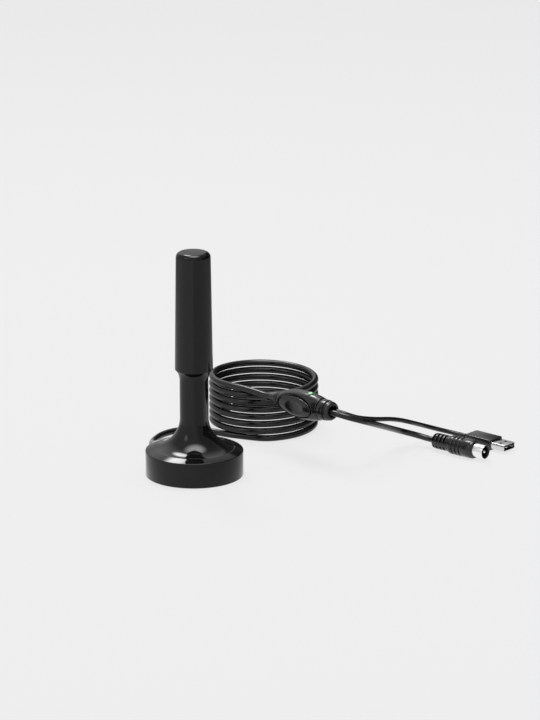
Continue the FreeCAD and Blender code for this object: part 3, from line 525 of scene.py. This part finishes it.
def stamped_shell():
    """The USB plug's thin shell, open in front, with its two windows on each broad side."""
    begin(bpy.ops.mesh.primitive_cube_add, size=MM)
    stretch(11.8, 12, 4.5)
    shift(32.4, 0, 0)
    shell = bpy.context.object
    chosen_edges(shell, lambda spot: spot.x > 38.2)
    bpy.ops.mesh.delete(type="ONLY_FACE")
    chosen_edges(shell, lambda spot: abs(spot.y) > 5.9 and abs(spot.z) > 2.2)
    bpy.ops.mesh.bevel(offset=0.5 * MM, segments=3, affect="EDGES")
    shell = changed(done(), "SOLIDIFY", thickness=0.35 * MM, offset=-1.0)
    windows = [(32.0, 34.2, side - 1.1, side + 1.1, -5, 5) for side in (-2.7, 2.7)]
    settle(carved(shell, bars(*windows)), "stamped_shell", USB_PLACE, STEEL, "nickel", "usb_plug_shell")


polished_sleeve()
flared_stem()
foot_drum()
ringed_gland()
casing_halves()
dished_grip()
domed_lens()
ringed_boots()
ribbed_plug_body()
aerial_contacts()
usb_grip_body()
stamped_shell()


# Cords, along the routes of the part's source, with some points moved

FEED_TAIL = [(-22.54, 32.19, 10.3), (-25.41, 36.29, 10.3), (-27.8, 46.2, 6.9), (-31, 56.6, 3.4),
             (-30, 68.2, 2.35), (-25, 81.9, 2.35), (-15.6, 91.6, 2.35), (-2.5, 94.6, 2.35),
             (9.7, 90.1, 2.35), (20.7, 83, 2.35), (32.5, 78, 2.35)]
FEED_RISER = [(31.6, 75.8, 38.2), (40.2, 69.4, 37.5), (48.14, 63.6, 36.38), (51.6, 60, 36.6)]
AERIAL_LEAD = [(89.62, 17.69, 38.91), (95.86, 11.21, 39.3), (103.7, 8.5, 37.6), (112, 9.8, 35),
               (118.7, 14.7, 31.7), (138.6, 55.3, 14.1), (144.8, 60.1, 11), (152.4, 61.7, 8.5),
               (159.94, 59.87, 6.6), (163.8, 56.7, 6.6)]
USB_LEAD = [(92.41, 20.39, 39.25), (98.65, 13.91, 39.64), (105.5, 13.1, 37.3), (112.1, 15.8, 34.7),
            (123.7, 30.1, 29.5), (133.3, 42.1, 26.1), (142, 52.8, 21.9), (150.7, 63.6, 16.5),
            (160.3, 75.5, 10.4), (171.7, 79.8, 6.1), (183.76, 77.61, 3.8), (187.5, 74.3, 3.8)]

COIL_MIDDLE = (46.65, 109.47)
COIL_RADIUS = 36.27
COIL_TURNS = 6.875
COIL_PITCH = 5.22
COIL_FOOT = 2.35        # height of the cable's middle where it lies on the floor
TURN_POINTS = 24


def coil_turns():
    """Points of the neat coil, wound upwards and counter-clockwise from its front."""
    # The spline runs inside its points, so they stand a little outside the turns
    reach = COIL_RADIUS / math.cos(math.pi / TURN_POINTS)
    turns = []
    for step in range(round(COIL_TURNS * TURN_POINTS) + 1):
        angle = 2 * math.pi * step / TURN_POINTS - math.pi / 2
        turns.append((COIL_MIDDLE[0] + reach * math.cos(angle), COIL_MIDDLE[1] + reach * math.sin(angle),
                      COIL_FOOT + COIL_PITCH * step / TURN_POINTS))
    return turns


def cord(name, points, diameter, replaced):
    """A cable as one smooth spline along its route, with its diameter in mm and its length in metres."""
    curve = bpy.data.curves.new(name, "CURVE")
    curve.dimensions = "3D"
    curve.resolution_u = 8
    curve.bevel_depth = diameter / 2 * MM
    curve.bevel_resolution = 6
    curve.use_fill_caps = True
    spline = curve.splines.new("NURBS")
    spline.points.add(len(points) - 1)
    for spot, point in zip(spline.points, points):
        spot.co = (point[0] * MM, point[1] * MM, point[2] * MM, 1.0)
    spline.order_u = 3
    spline.use_endpoint_u = True
    curve.materials.append(PVC)
    piece = bpy.data.objects.new(name, curve)
    scene.collection.objects.link(piece)
    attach(piece, "root")
    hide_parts(*replaced)


cord("feed_cord", FEED_TAIL + coil_turns() + FEED_RISER, diameter=4.6,
     replaced=("feed_tail", "feed_coil", "feed_riser"))
cord("aerial_cord", AERIAL_LEAD, diameter=4.2,
     replaced=("aerial_lead",))
cord("usb_cord", USB_LEAD, diameter=3.2,
     replaced=("usb_lead",))


# Floor, light and camera

PAPER = tone("efefef")
HAZE_WAY = (-0.17, 0.65, 0.74)      # high behind, where the paper is brightest
FLAG_WAY = (0.837, 0.483, 0.259)    # low at the right, where a black flag stands
PAINTED_PATCH_SPOT = (0.165, 0.04, 0.0)      # under the plugs: a painted bright patch on the floor, seen only in their reflections
LAMP_AIM = Vector((0.0, -0.02, 0.02))
LAMP_REACH = 2.0


def by_ray(tree, lit, mirrored, plain):
    """One of three shaders: for soft light, for mirror reflections, or for the camera."""
    path = add(tree, "ShaderNodeLightPath")
    seen = add(tree, "ShaderNodeMath", {0: path.outputs["Is Camera Ray"],
                                        1: path.outputs["Is Transmission Ray"]}, operation="MAXIMUM")
    other = add(tree, "ShaderNodeMixShader", {0: path.outputs["Is Glossy Ray"], 1: lit, 2: mirrored})
    mixed = add(tree, "ShaderNodeMixShader", {0: seen.outputs[0], 1: other.outputs[0], 2: plain})
    return mixed.outputs[0]


def backdrop():
    """Pale paper all round, which glossy pieces mirror with its haze and the black flag."""
    world = bpy.data.worlds.new("studio_paper")
    world.use_nodes = True
    tree = world.node_tree
    tree.nodes.clear()
    lit = add(tree, "ShaderNodeBackground", {"Color": PAPER, "Strength": 0.6})
    way = add(tree, "ShaderNodeTexCoord").outputs["Generated"]
    across, depth, up = add(tree, "ShaderNodeSeparateXYZ", {0: way}).outputs
    # The room is darker behind than in front, and darker at the right
    room = add(tree, "ShaderNodeMapRange", {"Value": depth, "From Min": -0.2, "From Max": 0.5,
                                            "To Min": 0.92, "To Max": 0.6}, interpolation_type="SMOOTHSTEP")
    side = add(tree, "ShaderNodeMapRange", {"Value": across, "From Min": 0.1, "From Max": 0.6,
                                            "To Min": 1.0, "To Max": 0.55}, interpolation_type="SMOOTHSTEP")
    level = add(tree, "ShaderNodeMath", {0: room.outputs[0], 1: side.outputs[0]}, operation="MULTIPLY")
    # The haze gives the glow above the foot's two highlights
    aim = add(tree, "ShaderNodeVectorMath", {0: way, 1: HAZE_WAY}, operation="DOT_PRODUCT")
    haze = add(tree, "ShaderNodeMapRange", {"Value": aim.outputs["Value"], "From Min": 0.83, "From Max": 0.99,
                                            "To Min": 0.0, "To Max": 0.85}, interpolation_type="SMOOTHSTEP")
    level = add(tree, "ShaderNodeMath", {0: level.outputs[0], 1: haze.outputs[0]}, operation="ADD")
    # The flag, which reaches about 35 degrees up, gives the foot and the mast their dark right side
    aim = add(tree, "ShaderNodeVectorMath", {0: way, 1: FLAG_WAY}, operation="DOT_PRODUCT")
    flag = add(tree, "ShaderNodeMapRange", {"Value": aim.outputs["Value"], "From Min": 0.56, "From Max": 0.67,
                                            "To Min": 0.0, "To Max": 0.88}, interpolation_type="SMOOTHSTEP")
    edge = add(tree, "ShaderNodeMapRange", {"Value": up, "From Min": 0.6, "From Max": 0.52,
                                            "To Min": 0.0, "To Max": 1.0}, interpolation_type="SMOOTHSTEP")
    shade = add(tree, "ShaderNodeMath", {0: flag.outputs[0], 1: edge.outputs[0]}, operation="MULTIPLY")
    shade = add(tree, "ShaderNodeMath", {0: 1.0, 1: shade.outputs[0]}, operation="SUBTRACT")
    level = add(tree, "ShaderNodeMath", {0: level.outputs[0], 1: shade.outputs[0]}, operation="MULTIPLY")
    mirrored = add(tree, "ShaderNodeBackground", {"Color": PAPER, "Strength": level.outputs[0]})
    plain = add(tree, "ShaderNodeBackground", {"Color": PAPER, "Strength": 1.0})
    mixed = by_ray(tree, lit.outputs[0], mirrored.outputs[0], plain.outputs[0])
    add(tree, "ShaderNodeOutputWorld", {"Surface": mixed})
    scene.world = world


def studio_floor():
    """The pale floor: it keeps the object's soft shadow, and in reflections it has painted shade, dimming
    behind and at the right, with a painted bright patch under the plugs.
    """
    bpy.ops.object.select_all(action="DESELECT")
    bpy.ops.mesh.primitive_plane_add(size=8.0, location=(0, 0, 0))
    floor = bpy.context.object
    floor.name = "studio_floor"
    material = bpy.data.materials.new("pale_studio_paper")
    material.use_nodes = True
    tree = material.node_tree
    tree.nodes.clear()
    lit = add(tree, "ShaderNodeBsdfDiffuse", {"Color": PAPER})
    place = add(tree, "ShaderNodeTexCoord").outputs["Object"]
    across, depth = add(tree, "ShaderNodeSeparateXYZ", {0: place}).outputs[:2]
    # In reflections the floor has painted shade: it dims behind and towards the right
    fade = add(tree, "ShaderNodeMapRange", {"Value": depth, "From Min": -0.1, "From Max": 0.5,
                                            "To Min": 1.0, "To Max": 0.38}, interpolation_type="SMOOTHSTEP")
    side = add(tree, "ShaderNodeMapRange", {"Value": across, "From Min": -0.06, "From Max": 0.06,
                                            "To Min": 1.1, "To Max": 0.8}, interpolation_type="SMOOTHSTEP")
    share = add(tree, "ShaderNodeMath", {0: fade.outputs[0], 1: side.outputs[0]}, operation="MULTIPLY")
    # A painted bright patch on the floor under the plugs, seen only in their reflections
    reach = add(tree, "ShaderNodeVectorMath", {0: place, 1: PAINTED_PATCH_SPOT}, operation="DISTANCE")
    painted_patch = add(tree, "ShaderNodeMapRange", {"Value": reach.outputs["Value"], "From Min": 0.1,
                                            "From Max": 0.03, "To Min": 0.0, "To Max": 0.5},
               interpolation_type="SMOOTHSTEP")
    share = add(tree, "ShaderNodeMath", {0: share.outputs[0], 1: painted_patch.outputs[0]}, operation="ADD")
    mirrored = add(tree, "ShaderNodeEmission", {"Color": PAPER, "Strength": share.outputs[0]})
    # The camera sees mostly even paper, and a tenth of the floor's own light and shadow
    bright = add(tree, "ShaderNodeEmission", {"Color": PAPER, "Strength": 0.946})
    plain = add(tree, "ShaderNodeMixShader", {0: 0.9, 1: lit.outputs[0], 2: bright.outputs[0]})
    mixed = by_ray(tree, lit.outputs[0], mirrored.outputs[0], plain.outputs[0])
    add(tree, "ShaderNodeOutputMaterial", {"Surface": mixed})
    floor.data.materials.append(material)


def softbox(name, azimuth, elevation, width, height, glow):
    """A panel lamp that faces the foot and fades softly towards its own edges."""
    data = bpy.data.lights.new(name, "AREA")
    data.shape = "RECTANGLE"
    data.size = width
    data.size_y = height
    data.energy = glow * math.pi * width * height
    data.use_nodes = True
    tree = data.node_tree
    tree.nodes.clear()
    spot = add(tree, "ShaderNodeNewGeometry").outputs["Parametric"]
    middle = add(tree, "ShaderNodeVectorMath", {0: spot, 1: (0.5, 0.5, 0.0)}, operation="DISTANCE")
    fade = add(tree, "ShaderNodeMapRange", {"Value": middle.outputs["Value"], "From Min": 0.5,
                                            "From Max": 0.12, "To Min": 0.0, "To Max": 1.0},
               interpolation_type="SMOOTHSTEP")
    shine = add(tree, "ShaderNodeEmission", {"Strength": fade.outputs[0]})
    add(tree, "ShaderNodeOutputLight", {"Surface": shine.outputs[0]})
    lamp = bpy.data.objects.new(name, data)
    bearing, rise = math.radians(azimuth), math.radians(elevation)
    level = math.cos(rise)
    toward = Vector((level * math.cos(bearing), level * math.sin(bearing), math.sin(rise)))
    lamp.location = LAMP_AIM + toward * LAMP_REACH
    lamp.rotation_euler = toward.to_track_quat("Z", "Y").to_euler()
    scene.collection.objects.link(lamp)


backdrop()
studio_floor()
# Bearing and height in degrees, width and height in metres, and brightness
softbox("back_left_softbox", 111, 56, 0.72, 0.82, 18.0)
softbox("overhead_softbox", 40, 88, 1.9, 1.9, 9.0)
softbox("front_left_softbox", -148, 42, 0.8, 1.0, 2.0)

# A long lens from well back, looking a little down on the part
view = bpy.data.cameras.new("product_view")
view.sensor_width = 36.0
view.lens = 175.5
view.clip_end = 20.0
camera = bpy.data.objects.new("product_view", view)
camera.location = (0.051088, -2.261553, 0.735554)
camera.rotation_euler = (math.radians(73.844), 0.0, 0.0)
scene.collection.objects.link(camera)
scene.camera = camera
